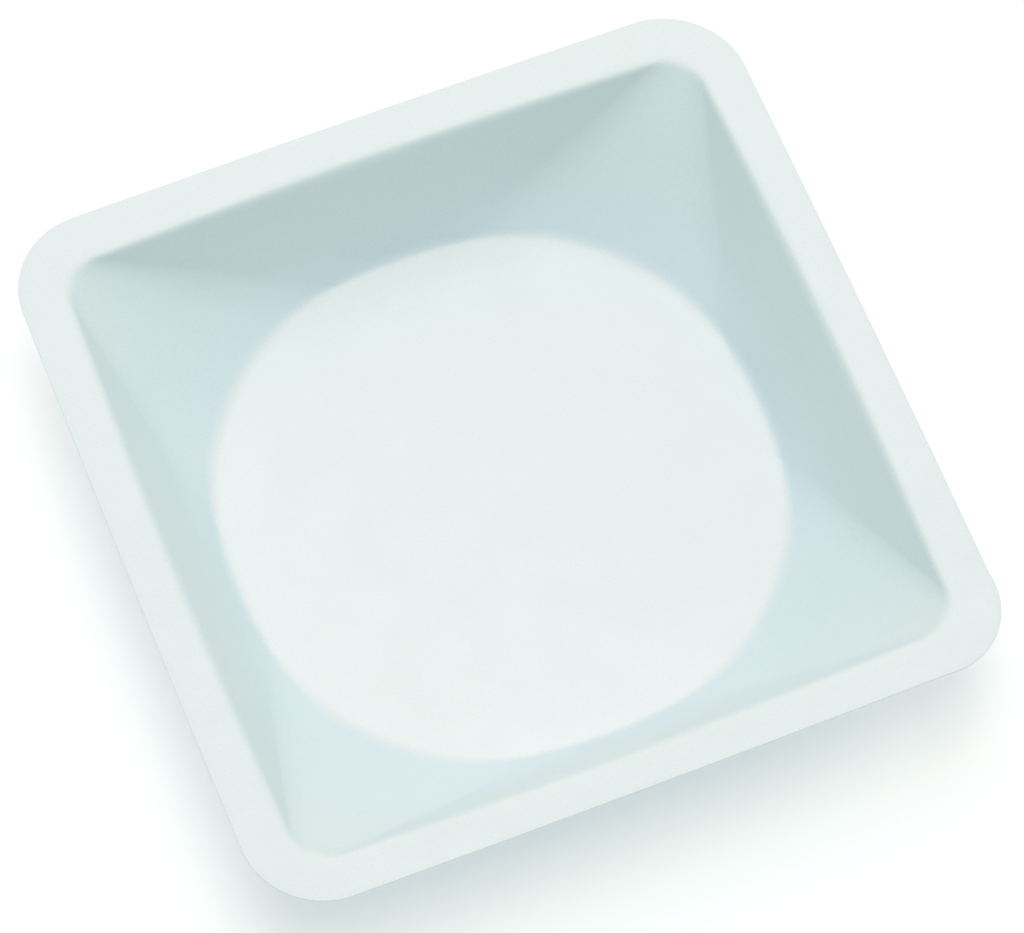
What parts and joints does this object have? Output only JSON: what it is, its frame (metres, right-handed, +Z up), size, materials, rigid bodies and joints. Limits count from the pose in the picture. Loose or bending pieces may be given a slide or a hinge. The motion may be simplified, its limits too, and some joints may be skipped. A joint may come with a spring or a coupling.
{
  "type": "weighing boat",
  "caption": "Shallow square dish with rounded corners, a flat rim, leaning walls and a nearly round flat floor, formed from thin white sheet to hold powder while it is weighed.",
  "frame": {"origin": "centre of the underside of the floor, on the surface that the boat stands on", "axes": "+Z up out of the dish; X and Y each run at right angles to two opposite sides"},
  "size_m": [0.14, 0.14, 0.022],
  "materials": {
    "polystyrene": "satin white, smooth"
  },
  "bodies": {
    "root": {"boat": "polystyrene"}
  },
  "joints": []
}
